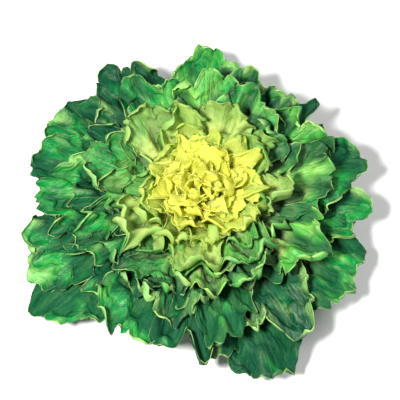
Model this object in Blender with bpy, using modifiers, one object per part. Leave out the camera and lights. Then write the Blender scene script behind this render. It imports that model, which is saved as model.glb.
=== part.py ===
"""An escarole head standing on its cut stem.

The head is a short domed crown with leaves all round it. Every leaf lies on its own shell. The shells
are nested bowls: the innermost is nearly upright round the heart and the outermost spreads flat. A leaf
is waved by moving its points from one shell towards the next, and where two leaves still touch they are
pushed apart along the same direction. The big leaves are separate pieces; the small leaves of the heart
grow from one core.

Metres, +Z up, with the origin in the middle of the cut face.
"""

import math

import bmesh
import bpy
import numpy as np
from mathutils.bvhtree import BVHTree

MM = 0.001

# The whole head
HEAD_RADIUS = 172 * MM  # reach of the outermost shell
HEART_HEIGHT = 118 * MM  # top of the innermost shell
RIM_HEIGHT = 34 * MM  # tip height of the outermost shell
LOWEST_BLADE = 1.6 * MM  # nothing but the cut face comes lower than this
FLOOR_EASE = 12 * MM  # below this height the shells flatten out over the table

# The crown, which is the short stem
CROWN_RADIUS = 24 * MM
CROWN_RISE = 34 * MM
CROWN_WAIST = 12 * MM  # height of its widest place
CUT_RADIUS = 17 * MM
ROOT_RADIUS = 25.6 * MM  # the roots of the big leaves lie on this rounder dome, just clear of the crown
ROOT_RISE = 35.6 * MM
HEART_SEAM = 33.5 * MM  # height where the heart's core sits on the crown
SEAM_GAP = 0.4 * MM
# The heart's core in its side view, as radius and height, from the top down to the seam
CORE = ((0, 56), (6, 54.8), (11.5, 51), (15.2, 45), (16.6, 38), (16.2, 33.5))
CORE_ROOT_SHARE = 0.6  # the small leaves' roots are drawn in to this share of their radius, inside the core

# The big leaves from the middle outwards: azimuth in degrees from +X towards +Y, distance of the tip
# from the axis in mm, half the blade's width in mm, and how far the tip leans outwards in mm
BIG_LEAVES = (
    (31, 74, 27, 3),
    (110, 88, 30, -2),
    (264, 98, 27, 6),
    (73, 95, 27, -3),
    (208, 97, 30, 2),
    (355, 100, 22, 0),
    (131, 98, 30, 3),
    (303, 97, 34, 0),
    (183, 95, 28, 4),
    (42, 96, 30, 3),
    (270, 117, 34, -2),
    (232, 122, 34, 6),
    (60, 124, 34, -2),
    (297, 121, 36, -5),
    (163, 138, 38, -4),
    (12, 138, 32, 2),
    (86, 148, 38, -6),
    (204, 140, 40, -3),
    (331, 134, 38, 2),
    (119, 152, 40, -3),
    (32, 138, 38, 0),
    (255, 142, 42, -4),
    (278, 146, 38, 5),
    (46, 147, 44, -3),
    (266, 163, 46, 2),
    (13, 160, 44, -4),
    (241, 170, 44, 0),
    (68, 152, 46, -5),
    (178, 171, 44, -2),
    (123, 171, 46, -4),
    (305, 168, 50, -6),
    (357, 169, 44, -3),
    (165, 175, 44, -2),
    (331, 173, 48, 0),
    (88, 176, 46, -9),
    (198, 192, 46, -3),
    (292, 182, 46, 4),
    (149, 185, 48, -8),
    (214, 186, 48, 4),
)
INNER_LEAVES = 11
MIDDLE_LEAVES = 12
HEART_LEAVES = 26
FIRST_HEART_RANK = 0.045
HEART_RANK = 0.37  # shells up to this one hold the heart's leaves
FIRST_BIG_RANK = 0.45
GOLDEN_ANGLE = math.radians(137.508)
SEED = 41

# Folds that neighbouring leaves share: how many round the head, how far they turn with the
# shells, how they slant on the way to the tip, and their height
FOLDS = ((17, 9.0, 3.0, 5.0 * MM), (26, 13.0, -4.0, 3.0 * MM))

# Blades
BLADE = 0.8 * MM
HEART_BLADE = 0.9 * MM
RIB = 2.6 * MM  # thickness of the midrib at the root
HEART_RIB = 1.3 * MM
ROOT_HALF_WIDTH = 6.2 * MM
CLEARANCE = 0.35 * MM
WAVE = 6.5 * MM
HEART_WAVE = 7 * MM
WAVES_ROUND = 7.5
HEART_WAVES_ROUND = 6.0
FRILL = 5.5 * MM
FRILLS_ROUND = 12.5
SWELL = 0.75  # widening of a ruffle's crest for its height
LOBE_DEPTH = 0.14
HEART_LOBE_DEPTH = 0.16

# Rows from root to tip and columns from edge to edge; the margins are then split once more
BIG_ROWS = (0.0, 0.14, 0.27, 0.39, 0.50, 0.60, 0.70, 0.79, 0.87, 0.94, 1.0)
BIG_COLUMNS = (-1.0, -0.5, 0.0, 0.5, 1.0)
HEART_ROWS = (-0.04, 0.13, 0.38, 0.62, 0.83, 1.0)
HEART_COLUMNS = (-1.0, -0.35, 0.35, 1.0)
HEART_ROOT_END = 0.1  # below this share of their length the small leaves may grow into each other
PUSH = 0.35 * MM
PUSH_ROUNDS = 100

GREENS = {
    "heart": (0.85, 0.78, 0.10),
    "inner": (0.50, 0.62, 0.09),
    "middle": (0.13, 0.42, 0.06),
    "outer": (0.02, 0.22, 0.05),
    "crown": (0.80, 0.78, 0.52),
}
ROUGHNESS = 0.45


def smooth(x):
    x = np.clip(x, 0, 1)
    return x * x * (3 - 2 * x)


def profile(rank, along):
    """Radius and height of a shell's side view, by its rank and the share of the way from root to tip."""
    rank = np.clip(rank, 0.002, 1.3)
    tilt = np.radians(104) * rank**0.95
    root = np.array([ROOT_RADIUS * np.sin(tilt), CROWN_WAIST + ROOT_RISE * np.cos(tilt)])
    tip = np.array([HEAD_RADIUS * rank**1.12, HEART_HEIGHT - (HEART_HEIGHT - RIM_HEIGHT) * rank**2.6])
    chord = np.hypot(*(tip - root))
    leaving = np.radians(90 - 50 * rank**1.3)
    arriving = np.radians(90 - 108 * rank**1.5)
    first = root + 0.42 * chord * np.array([np.cos(leaving), np.sin(leaving)])
    second = tip - 0.38 * chord * np.array([np.cos(arriving), np.sin(arriving)])
    back = 1 - along
    return back**3 * root + 3 * back**2 * along * first + 3 * back * along**2 * second + along**3 * tip


def shared_folds(rank, along, azimuth):
    """How far outwards the folds that neighbouring leaves share move a point, in metres."""
    wander = azimuth + 0.09 * np.sin(3 * azimuth + 4 * rank) + 0.05 * np.sin(5 * azimuth + 1.7)
    total = np.zeros_like(wander)
    for count, drift, slant, height in FOLDS:
        total = total + height * np.sin(count * wander + drift * rank + slant * along)
    return total * smooth((along - 0.2) / 0.5) * smooth((rank - 0.25) / 0.45)


def place(rank, along, azimuth):
    """Points in space, from their shell, their share of the way to the tip and their azimuth."""
    rank = rank + shared_folds(rank, along, azimuth) / shell_spacing(np.clip(rank, 0.02, 1.25), along)
    radius, height = profile(rank, along)
    ease = FLOOR_EASE - LOWEST_BLADE
    low = LOWEST_BLADE + ease * np.exp(np.minimum(height - FLOOR_EASE, 0) / ease)
    height = np.where(height < FLOOR_EASE, low, height)
    return np.stack([radius * np.cos(azimuth), radius * np.sin(azimuth), height], axis=-1)


def shell_spacing(rank, along):
    """Metres between shells for one unit of rank."""
    step = 0.01
    nearer, further = profile(rank - step / 2, along), profile(rank + step / 2, along)
    return np.hypot(*(further - nearer)) / step


def shell_length(rank):
    along = np.linspace(0, 1, 25)
    radius, height = profile(np.full(25, rank), along)
    return np.hypot(np.diff(radius), np.diff(height)).sum()


class Leaf:
    """One leaf: where it grows, its outline and how it waves."""

    def __init__(self, number, rng):
        self.in_heart = number < HEART_LEAVES
        if self.in_heart:
            outward = (number + 0.5) / HEART_LEAVES
            self.rank = FIRST_HEART_RANK + (HEART_RANK - FIRST_HEART_RANK) * outward
            self.azimuth = number * GOLDEN_ANGLE
            self.reach = rng.uniform(0.86, 1.0)
            self.half_width = (8 + 15 * outward) * MM
            self.root_half_width = 2.6 * MM
            self.lean = rng.uniform(-3, 3) * MM
            size, wave, frill, waves = 0.7, HEART_WAVE, 0, HEART_WAVES_ROUND
            cup, curl = (-6, 3), (-2, 8)
            lobes, self.lobe_depth = 9.5, HEART_LOBE_DEPTH
            self.unevenness, self.end_narrowing = 0, 0.18
        else:
            big = number - HEART_LEAVES
            azimuth, tip, half_width, lean = BIG_LEAVES[big]
            self.rank = FIRST_BIG_RANK + (1 - FIRST_BIG_RANK) * big / (len(BIG_LEAVES) - 1)
            self.azimuth = math.radians(azimuth)
            along = np.linspace(0.6, 1.15, 56)
            self.reach = float(np.interp(tip * MM, profile(np.full(56, self.rank), along)[0], along))
            self.half_width = half_width * MM
            self.root_half_width = ROOT_HALF_WIDTH
            self.lean = lean * MM
            size, wave, frill, waves = 1.0, WAVE, FRILL, WAVES_ROUND
            cup, curl = (-8, 2), (-8, 6)
            lobes, self.lobe_depth = 0, LOBE_DEPTH
            self.unevenness, self.end_narrowing = 0.12, 0.16
        self.number = number
        self.wave = wave * rng.uniform(0.8, 1.2)
        self.frill = frill * rng.uniform(0.6, 1.2)
        self.phases = rng.uniform(0, 2 * math.pi, 3)
        self.waves = waves + rng.uniform(-1, 1)
        self.frills = FRILLS_ROUND + rng.uniform(-2, 2)
        self.lobes = lobes + rng.uniform(-1.5, 1.5)
        self.cup = size * rng.uniform(*cup) * MM
        self.twist = size * rng.uniform(-5, 5) * MM
        self.tip_curl = size * rng.uniform(*curl) * MM
        self.length = float(shell_length(self.rank)) * self.reach

    def width(self, up):
        """Half the blade's width at this share of its length."""
        widening = smooth((up - 0.06) / 0.66)
        rounding = 1 - self.end_narrowing * np.clip((up - 0.76) / 0.24, 0, 1.2) ** 2
        return (self.root_half_width + (self.half_width - self.root_half_width) * widening) * rounding

    def margin(self, up, side):
        """0 along the midrib, 1 at the leaf's edge."""
        return 1 - (1 - np.clip(np.abs(side), 0, 1) ** 2) * (1 - np.clip(up, 0, 1) ** 7)

    def turn(self, up, side):
        """Angle round the middle of the blade, measured from its tip."""
        return np.arctan2(side * self.width(up), (up - 0.38) * self.length)

    def ruffle(self, up, side):
        """Where a point stands in the margin's row of ruffles, a full turn from one crest to the next."""
        turn = self.turn(up, side)
        return self.frills * (turn + self.unevenness * np.sin(2 * turn + self.phases[2])) + self.phases[1]

    def shift(self, up, side):
        """How far the blade leaves its own shell, in metres, outwards positive."""
        turn, edge = self.turn(up, side), self.margin(up, side)
        uneven = turn + self.unevenness * np.sin(2 * turn + self.phases[2])
        wave = self.wave * edge**1.1 * np.sin(self.waves * uneven + self.phases[0])
        wave -= self.frill * edge**2 * np.sin(self.ruffle(up, side))
        shape = self.cup * side**2 + self.twist * side * up + self.lean * up**2 + self.tip_curl * up**5
        return (wave + shape) * smooth(up / 0.45)

    def swell(self, up, side):
        """How far the crests of the ruffles widen over their troughs, across and along the blade."""
        swing = -SWELL * self.frill * self.margin(up, side) ** 2.5 * np.cos(self.ruffle(up, side))
        swing = swing * smooth((up - 0.25) / 0.3)
        x, y = side * self.width(up), (up - 0.38) * self.length
        far = np.maximum(np.hypot(x, y), 5 * MM)
        return swing * y / far, -swing * x / far

    def lobe(self, up, side):
        """How much nearer to the middle of the blade a point of the margin is drawn in."""
        if self.in_heart:
            notch = 0.5 - 0.5 * np.cos(self.lobes * self.turn(up, side) + self.phases[2])
        else:
            notch = (0.5 - 0.5 * np.sin(self.ruffle(up, side))) ** 1.5
        outer = 1 - (1 - np.clip(np.abs(side), 0, 1) ** 2) * (1 - np.clip(up, 0, 1) ** 3)
        return self.lobe_depth * outer * notch * smooth((up - 0.2) / 0.3)

    def thickness(self, up, side):
        blade, rib = (HEART_BLADE, HEART_RIB) if self.in_heart else (BLADE, RIB)
        rib_here = (rib - blade) * (1 - smooth(up / 0.8)) * np.exp(-((side / 0.42) ** 2))
        root = (rib - blade) * (1 - smooth(up / 0.25)) * 0.6
        return np.minimum(rib, blade + np.maximum(rib_here, root))


def shell_position(leaf, up, side):
    """Share of the way along the shell, and azimuth, of a leaf's own point."""
    drawn_in = leaf.lobe(up, side)
    rounded = up - 0.10 * np.clip(up, 0, 1) ** 5 * np.abs(side) ** 2.5
    sideways, onwards = leaf.swell(up, side)
    along = (rounded - drawn_in * (rounded - 0.38) + onwards / leaf.length) * leaf.reach
    radius = profile(np.full_like(along, leaf.rank), along)[0]
    across = side * (1 - drawn_in) * leaf.width(up) + sideways
    return along, leaf.azimuth + across / np.maximum(radius, 6 * MM)


def leaf_position(leaf, along, azimuth):
    """The point of a leaf, as share of its length and of its half width, at a place on its shell."""
    up = along / leaf.reach
    radius = np.maximum(profile(np.full_like(along, leaf.rank), along)[0], 6 * MM)
    turn = (azimuth - leaf.azimuth + math.pi) % (2 * math.pi) - math.pi
    return up, turn * radius / leaf.width(up)


def settled_rank(leaf, leaves, up, side):
    """The rank of a leaf's points once it and the leaves that it lies over have moved clear of each other."""
    along, azimuth = shell_position(leaf, up, side)
    spacing = shell_spacing(np.full_like(along, leaf.rank), along)
    wanted = leaf.rank + leaf.shift(up, side) / spacing
    low, high = np.full_like(along, -1.0), np.full_like(along, 9.0)
    for other in leaves:
        if other is leaf:
            continue
        other_up, other_side = leaf_position(other, along, azimuth)
        beyond = np.maximum(np.abs(other_side) - 1, 0) * other.width(other_up)
        beyond = np.maximum(beyond, (other_up - 1) * other.length)
        near_up, near_side = np.clip(other_up, 0, 1), np.clip(other_side, -1, 1)
        other_wanted = other.rank + other.shift(near_up, near_side) / spacing
        walls = (leaf.thickness(up, side) + other.thickness(near_up, near_side)) / 2
        half = ((walls + CLEARANCE) / 2 - 0.6 * beyond) / spacing
        half = np.minimum(half, 0.5 * abs(leaf.rank - other.rank))
        middle = (wanted + other_wanted) / 2
        if other.rank < leaf.rank:
            middle = np.clip(middle, other.rank + half, leaf.rank - half)
            low = np.where(beyond < 0.03, np.maximum(low, middle + half), low)
        else:
            middle = np.clip(middle, leaf.rank + half, other.rank - half)
            high = np.where(beyond < 0.03, np.minimum(high, middle - half), high)
    return np.clip(wanted, low, high), along, azimuth


class Sheet:
    """A leaf's middle surface as a coarse mesh, with what it needs to be pushed about."""

    def __init__(self, leaf, leaves):
        rows, columns = (HEART_ROWS, HEART_COLUMNS) if leaf.in_heart else (BIG_ROWS, BIG_COLUMNS)
        self.leaf = leaf
        self.shape = grid_mesh(rows, columns)
        flat = np.array([vert.co for vert in self.shape.verts])
        self.side, self.up = flat[:, 0], flat[:, 1]
        self.rank, self.along, self.azimuth = settled_rank(leaf, leaves, self.up, self.side)
        self.spacing = shell_spacing(np.full_like(self.along, leaf.rank), self.along)
        self.wall = leaf.thickness(self.up, self.side)
        self.faces = np.array([[vert.index for vert in face.verts] for face in self.shape.faces])
        rim = [edge for edge in self.shape.edges if edge.is_boundary]
        self.rim = [(edge.verts[0].index, edge.verts[1].index) for edge in rim]
        count = len(flat)
        self.skin = [tuple(face) for face in self.faces] + [tuple(face + count) for face in self.faces]
        for first, second in self.rim:
            self.skin += [(first, second, second + count), (first, second + count, first + count)]
        self.corners = [np.array(face) % count for face in self.skin]

    def points(self):
        points = place(self.rank, self.along, self.azimuth)
        if self.leaf.in_heart:
            above_root = (self.up - HEART_ROWS[0]) / (HEART_ROWS[1] - HEART_ROWS[0])
            drawn_in = 1 - (1 - CORE_ROOT_SHARE) * smooth(1 - above_root)
            points[:, :2] *= drawn_in[:, None]
        return points

    def tree(self):
        """The thickened leaf, with half the clearance added all round, for finding touches."""
        points = self.points()
        a, b, c = (points[self.faces[:, i]] for i in range(3))
        face_normals = np.cross(b - a, c - a)
        normals = np.zeros_like(points)
        for i in range(3):
            np.add.at(normals, self.faces[:, i], face_normals)
        normals /= np.maximum(np.linalg.norm(normals, axis=1, keepdims=True), 1e-12)
        out = normals * ((self.wall + CLEARANCE) / 2)[:, None]
        return BVHTree.FromPolygons(np.vstack([points + out, points - out]).tolist(), self.skin)


def push_apart(sheets):
    """Move touching leaves away from each other, the inner one inwards and the outer one outwards."""
    for _ in range(PUSH_ROUNDS):
        trees = [sheet.tree() for sheet in sheets]
        pushes = [np.zeros(len(sheet.rank)) for sheet in sheets]
        for i in range(len(sheets)):
            for j in range(i + 1, len(sheets)):
                for pair in trees[i].overlap(trees[j]):
                    ours = [sheets[k].corners[pair[side]] for side, k in enumerate((i, j))]
                    if all(sheets[k].leaf.in_heart for k in (i, j)) and any(
                        sheets[k].up[ours[side]].min() < HEART_ROOT_END for side, k in enumerate((i, j))
                    ):
                        continue
                    pushes[i][ours[0]] = -1
                    pushes[j][ours[1]] = 1
        if not any(push.any() for push in pushes):
            break
        for sheet, push in zip(sheets, pushes):
            sheet.rank = sheet.rank + push * PUSH / sheet.spacing


def grid_mesh(rows, columns):
    """A flat sheet whose points are at the given rows and columns, split into triangles."""
    shape = bmesh.new()
    bmesh.ops.create_grid(shape, x_segments=len(columns) - 1, y_segments=len(rows) - 1, size=1)
    for vert in shape.verts:
        column = round((vert.co.x + 1) / 2 * (len(columns) - 1))
        row = round((vert.co.y + 1) / 2 * (len(rows) - 1))
        vert.co = (columns[column], rows[row], 0)
    root = rows[0] + 1e-6
    margins = [edge for edge in shape.edges if edge.is_boundary and max(v.co.y for v in edge.verts) > root]
    bmesh.ops.subdivide_edges(shape, edges=margins, cuts=1)
    bmesh.ops.triangulate(shape, faces=shape.faces[:], quad_method="SHORT_EDGE", ngon_method="BEAUTY")
    shape.verts.index_update()
    return shape


def material(name):
    made = bpy.data.materials.new(name)
    made.use_nodes = True
    shader = made.node_tree.nodes["Principled BSDF"]
    shader.inputs["Base Color"].default_value = (*GREENS[name], 1)
    shader.inputs["Roughness"].default_value = ROUGHNESS
    shader.inputs["Metallic"].default_value = 0
    return made


def make_leaf(sheet, name, finish, home):
    """A leaf as an open sheet with Solidify, thickest along its rib."""
    for vert, point in zip(sheet.shape.verts, sheet.points()):
        vert.co = point
    mesh = bpy.data.meshes.new(name)
    sheet.shape.to_mesh(mesh)
    sheet.shape.free()
    obj = bpy.data.objects.new(name, mesh)
    home.objects.link(obj)
    obj.data.materials.append(finish)
    full = HEART_RIB if sheet.leaf.in_heart else RIB
    group = obj.vertex_groups.new(name="thickness")
    for index, wall in enumerate(sheet.wall):
        group.add([index], float(wall / full), "REPLACE")
    skin = obj.modifiers.new("Solidify", "SOLIDIFY")
    skin.thickness = full
    skin.offset = 0
    skin.vertex_group = group.name
    return obj


def clear_scene():
    for obj in list(bpy.data.objects):
        bpy.data.objects.remove(obj)


def collection(name):
    made = bpy.data.collections.new(name)
    bpy.context.scene.collection.children.link(made)
    return made


def turned(name, points, finish, home):
    """A solid turned round Z from a profile of (radius, height), top to bottom."""
    mesh = bpy.data.meshes.new(name)
    mesh.from_pydata([(r, 0, z) for r, z in points], [(i, i + 1) for i in range(len(points) - 1)], [])
    obj = bpy.data.objects.new(name, mesh)
    home.objects.link(obj)
    screw = obj.modifiers.new("Screw", "SCREW")
    screw.steps = screw.render_steps = 28
    screw.use_merge_vertices = True
    screw.merge_threshold = 1e-5
    obj.data.materials.append(finish)
    return obj


def crown_radius_at(height):
    return CROWN_RADIUS * math.sqrt(max(0.0, 1 - ((height - CROWN_WAIST) / CROWN_RISE) ** 2))


def make_crown(home):
    """The short stem: cut flat below and domed above, up to the heart's core."""
    top = HEART_SEAM - SEAM_GAP
    heights = [top + (CROWN_WAIST - top) * i / 5 for i in range(6)]
    side = [(crown_radius_at(z), z) for z in heights]
    below = [(0.5 * (CUT_RADIUS + CROWN_RADIUS), 3 * MM), (CUT_RADIUS, 0)]
    return turned("crown", [(0, top), *side, *below, (0, 0)], material("crown"), home)


def keep_largest(mesh):
    """Fill the closed pockets between the joined roots: only the outside surface stays."""
    shape = bmesh.new()
    shape.from_mesh(mesh)
    left, surfaces = set(shape.verts), []
    while left:
        start = left.pop()
        surface, edge_of = [start], [start]
        while edge_of:
            for edge in edge_of.pop().link_edges:
                for vert in edge.verts:
                    if vert in left:
                        left.remove(vert)
                        surface.append(vert)
                        edge_of.append(vert)
        surfaces.append(surface)
    surfaces.sort(key=len)
    bmesh.ops.delete(shape, geom=[vert for surface in surfaces[:-1] for vert in surface], context="VERTS")
    shape.to_mesh(mesh)
    shape.free()


def make_heart(sheets, home):
    """The core's rounded top with all the small leaves joined to it."""
    finish = material("heart")
    core = turned("heart", [(r * MM, z * MM) for r, z in CORE] + [(0, HEART_SEAM)], finish, home)
    small = collection("heart leaves")
    for sheet in sheets:
        if sheet.leaf.in_heart:
            make_leaf(sheet, f"small_{sheet.leaf.number:02d}", finish, small)
    join = core.modifiers.new("Union", "BOOLEAN")
    join.operation = "UNION"
    join.operand_type = "COLLECTION"
    join.collection = small
    join.solver = "MANIFOLD"
    bpy.context.view_layer.update()
    graph = bpy.context.evaluated_depsgraph_get()
    joined = bpy.data.meshes.new_from_object(core.evaluated_get(graph))
    core.modifiers.clear()
    keep_largest(joined)
    core.data = joined
    for obj in list(small.objects):
        bpy.data.objects.remove(obj)
    return core


def group_of(leaf):
    big = leaf.number - HEART_LEAVES
    if big < INNER_LEAVES:
        return "inner", big + 1
    if big < INNER_LEAVES + MIDDLE_LEAVES:
        return "middle", big - INNER_LEAVES + 1
    return "outer", big - INNER_LEAVES - MIDDLE_LEAVES + 1


def make_leaves():
    rng = np.random.RandomState(SEED)
    return [Leaf(number, rng) for number in range(HEART_LEAVES + len(BIG_LEAVES))]


def main():
    clear_scene()
    home = collection("escarole head")
    leaves = make_leaves()
    sheets = [Sheet(leaf, leaves) for leaf in leaves]
    push_apart(sheets)
    make_crown(home)
    make_heart(sheets, home)
    finishes = {name: material(name) for name in ("inner", "middle", "outer")}
    for sheet in sheets:
        if not sheet.leaf.in_heart:
            group, count = group_of(sheet.leaf)
            make_leaf(sheet, f"{group}_leaf_{count:02d}", finishes[group], home)


main()
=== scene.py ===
"""An escarole head with the look of the real one: frilled, veined leaves round a crinkled yellow heart.

Every leaf follows the same rule as its solid in the frame, with finer waves, teeth and blisters. A leaf
lies on its own shell, one of a family of nested bowls, and is waved by moving its points from one shell
towards the next. Where leaves touch they are pushed apart along the same direction.
"""

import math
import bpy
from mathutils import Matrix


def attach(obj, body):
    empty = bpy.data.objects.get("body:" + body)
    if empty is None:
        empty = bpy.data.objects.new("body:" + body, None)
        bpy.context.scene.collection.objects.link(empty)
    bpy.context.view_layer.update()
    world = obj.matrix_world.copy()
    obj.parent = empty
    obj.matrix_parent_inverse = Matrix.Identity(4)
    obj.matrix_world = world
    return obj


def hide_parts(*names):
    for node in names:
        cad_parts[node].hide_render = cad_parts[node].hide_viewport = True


bl_info = {
    "name": "Escarole head",
    "version": (1, 0, 0),
    "blender": (4, 5, 0),
    "location": "View3D > Sidebar > Escarole",
    "description": "Builds a frilled escarole head over its packed solids",
    "category": "Object",
}

import bmesh
import bpy
import numpy as np
from bpy.props import FloatProperty, FloatVectorProperty, PointerProperty
from mathutils import Vector
from mathutils.bvhtree import BVHTree

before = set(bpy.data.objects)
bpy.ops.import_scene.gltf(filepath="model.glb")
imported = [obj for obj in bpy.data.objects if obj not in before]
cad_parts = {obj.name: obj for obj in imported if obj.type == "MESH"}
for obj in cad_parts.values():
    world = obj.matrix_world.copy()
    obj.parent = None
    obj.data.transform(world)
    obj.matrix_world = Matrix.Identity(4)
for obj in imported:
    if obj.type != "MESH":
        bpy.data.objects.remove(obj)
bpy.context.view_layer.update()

MM = 0.001
CM = 0.01
BODY = "root"

# The head's own sizes, as in its solids
HEAD_RADIUS = 172 * MM
HEART_HEIGHT = 118 * MM
RIM_HEIGHT = 34 * MM
LOWEST_BLADE = 1.6 * MM
FLOOR_EASE = 12 * MM
CROWN_RADIUS = 24 * MM
CROWN_RISE = 34 * MM
CROWN_WAIST = 12 * MM
CUT_RADIUS = 17 * MM
ROOT_RADIUS = 25.6 * MM
ROOT_RISE = 35.6 * MM
HEART_SEAM = 33.5 * MM
SEAM_GAP = 0.4 * MM
CORE = ((0, 56), (6, 54.8), (11.5, 51), (15.2, 45), (16.6, 38), (16.2, 33.5))
CORE_ROOT_SHARE = 0.6

# The big leaves from the middle outwards: azimuth in degrees from +X towards +Y, distance of the tip
# from the axis in mm, half the blade's width in mm, and how far the tip leans outwards in mm
BIG_LEAVES = (
    (31, 74, 27, 3),
    (110, 88, 30, -2),
    (264, 98, 27, 6),
    (73, 95, 27, -3),
    (208, 97, 30, 2),
    (355, 100, 22, 0),
    (131, 98, 30, 3),
    (303, 97, 34, 0),
    (183, 95, 28, 4),
    (42, 96, 30, 3),
    (270, 117, 34, -2),
    (232, 122, 34, 6),
    (60, 124, 34, -2),
    (297, 121, 36, -5),
    (163, 138, 38, -4),
    (12, 138, 32, 2),
    (86, 148, 38, -6),
    (204, 140, 40, -3),
    (331, 134, 38, 2),
    (119, 152, 40, -3),
    (32, 138, 38, 0),
    (255, 142, 42, -4),
    (278, 146, 38, 5),
    (46, 147, 44, -3),
    (266, 163, 46, 2),
    (13, 160, 44, -4),
    (241, 170, 44, 0),
    (68, 152, 46, -5),
    (178, 171, 44, -2),
    (123, 171, 46, -4),
    (305, 168, 50, -6),
    (357, 169, 44, -3),
    (165, 175, 44, -2),
    (331, 173, 48, 0),
    (88, 176, 46, -9),
    (198, 192, 46, -3),
    (292, 182, 46, 4),
    (149, 185, 48, -8),
    (214, 186, 48, 4),
)
INNER_LEAVES = 11
MIDDLE_LEAVES = 12
HEART_LEAVES = 26
FIRST_HEART_RANK = 0.045
HEART_RANK = 0.37
FIRST_BIG_RANK = 0.45
GOLDEN_ANGLE = math.radians(137.508)
SEED = 41

# Folds that neighbouring leaves share: how many round the head, how far they turn with the
# shells, how they slant on the way to the tip, their height and the rank at which they begin
FOLDS = ((17, 9.0, 3.0, 5.0 * MM, 0.25), (26, 13.0, -4.0, 3.0 * MM, 0.25))

BLADE = 0.8 * MM
HEART_BLADE = 0.9 * MM
RIB = 2.6 * MM
HEART_RIB = 1.3 * MM
ROOT_HALF_WIDTH = 6.2 * MM
CLEARANCE = 0.35 * MM
WAVE = 6.5 * MM
HEART_WAVE = 7 * MM
WAVES_ROUND = 7.5
HEART_WAVES_ROUND = 6.0
FRILL = 5.5 * MM
FRILLS_ROUND = 12.5
SWELL = 0.75
LOBE_DEPTH = 0.14
HEART_LOBE_DEPTH = 0.16
BIG_ROWS = (0.0, 0.14, 0.27, 0.39, 0.50, 0.60, 0.70, 0.79, 0.87, 0.94, 1.0)
BIG_COLUMNS = (-1.0, -0.5, 0.0, 0.5, 1.0)
HEART_ROWS = (-0.04, 0.13, 0.38, 0.62, 0.83, 1.0)
HEART_COLUMNS = (-1.0, -0.35, 0.35, 1.0)
HEART_ROOT_END = 0.1
PUSH = 0.35 * MM
PUSH_ROUNDS = 100

# What the solids leave out: young leaves among the others, as first rank, last rank, number, and
# half the width of the first and of the last in mm
YOUNG_LEAVES = ((0.04, 0.42, 52, 8, 19), (0.44, 0.97, 48, 16, 28))
YOUNG_PUSH_ROUNDS = 25
YOUNG_ROWS = 38
YOUNG_COLUMNS = 20
YOUNG_INNER = 25
FINE_FOLDS = (
    (31, 12.0, 23.0, 2.8 * MM, 0.42),
    (38, -9.0, -27.0, 2.4 * MM, 0.42),
    (67, 19.0, 11.0, 0.9 * MM, 0.42),
)
CURLS_ROUND = 27.0
CURL_SWELL = 0.9  # widening of a curl's crest for its height
CURL_NOTCH = 0.09  # depth of a curl's notch as a share of the blade
FREE_MARGIN = 12 * MM  # how clear of the leaves above a margin curls up in full
RUFFLES_ROUND = 57.0
CREASES = 9
VEINS = 9.0
TEETH_ROUND = 62.0
FINE_ROWS = 80
FINE_COLUMNS = 44
HEART_FINE_ROWS = 32
HEART_FINE_COLUMNS = 22
THIN = 0.6  # the blade's real thickness as a share of the solid's
FAR_APART = 30 * MM  # leaves further apart don't push each other
CORE_SIDES = 64
CROWN_SIDES = 96
CUT_EDGE = 1.5 * MM
ROOT_FLARE = (7 * MM, 10.5 * MM)

KEY_SPOT = (-0.42, -0.4, 1.3)
KEY_SIZE = 0.24
FILL_SPOT = (0.7, 0.3, 1.3)
FILL_SIZE = 0.8
FILL_SHARE = 0.25  # the fill light's power as a share of the key's
AIM = (-0.002, -0.004, 0.07)
LIGHTS_AIM = (0, 0, 0.06)
FLOOR_HALF = 4.0
FLOOR_COLOUR = (0.93, 0.93, 0.92)


class LeafSettings(bpy.types.PropertyGroup):
    """Sizes of the fine shapes on the leaves."""

    curl: FloatProperty(
        name="Curl", description="Height of the small curls at the margin",
        default=3.2 * MM, subtype="DISTANCE",
    )
    lift: FloatProperty(
        name="Lift", description="How far free margins curl up",
        default=9.0 * MM, subtype="DISTANCE",
    )
    ruffle: FloatProperty(
        name="Ruffle", description="Height of the fine ruffles on the curls",
        default=1.3 * MM, subtype="DISTANCE",
    )
    tooth: FloatProperty(
        name="Tooth", description="Depth of the teeth along the margin",
        default=2.6 * MM, subtype="DISTANCE",
    )
    crumple: FloatProperty(
        name="Crumple", description="Height of the blade's creases for each metre of their length",
        default=0.03,
    )
    pleat: FloatProperty(
        name="Pleat", description="Height of the pleats between the veins",
        default=0.6 * MM, subtype="DISTANCE",
    )


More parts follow.
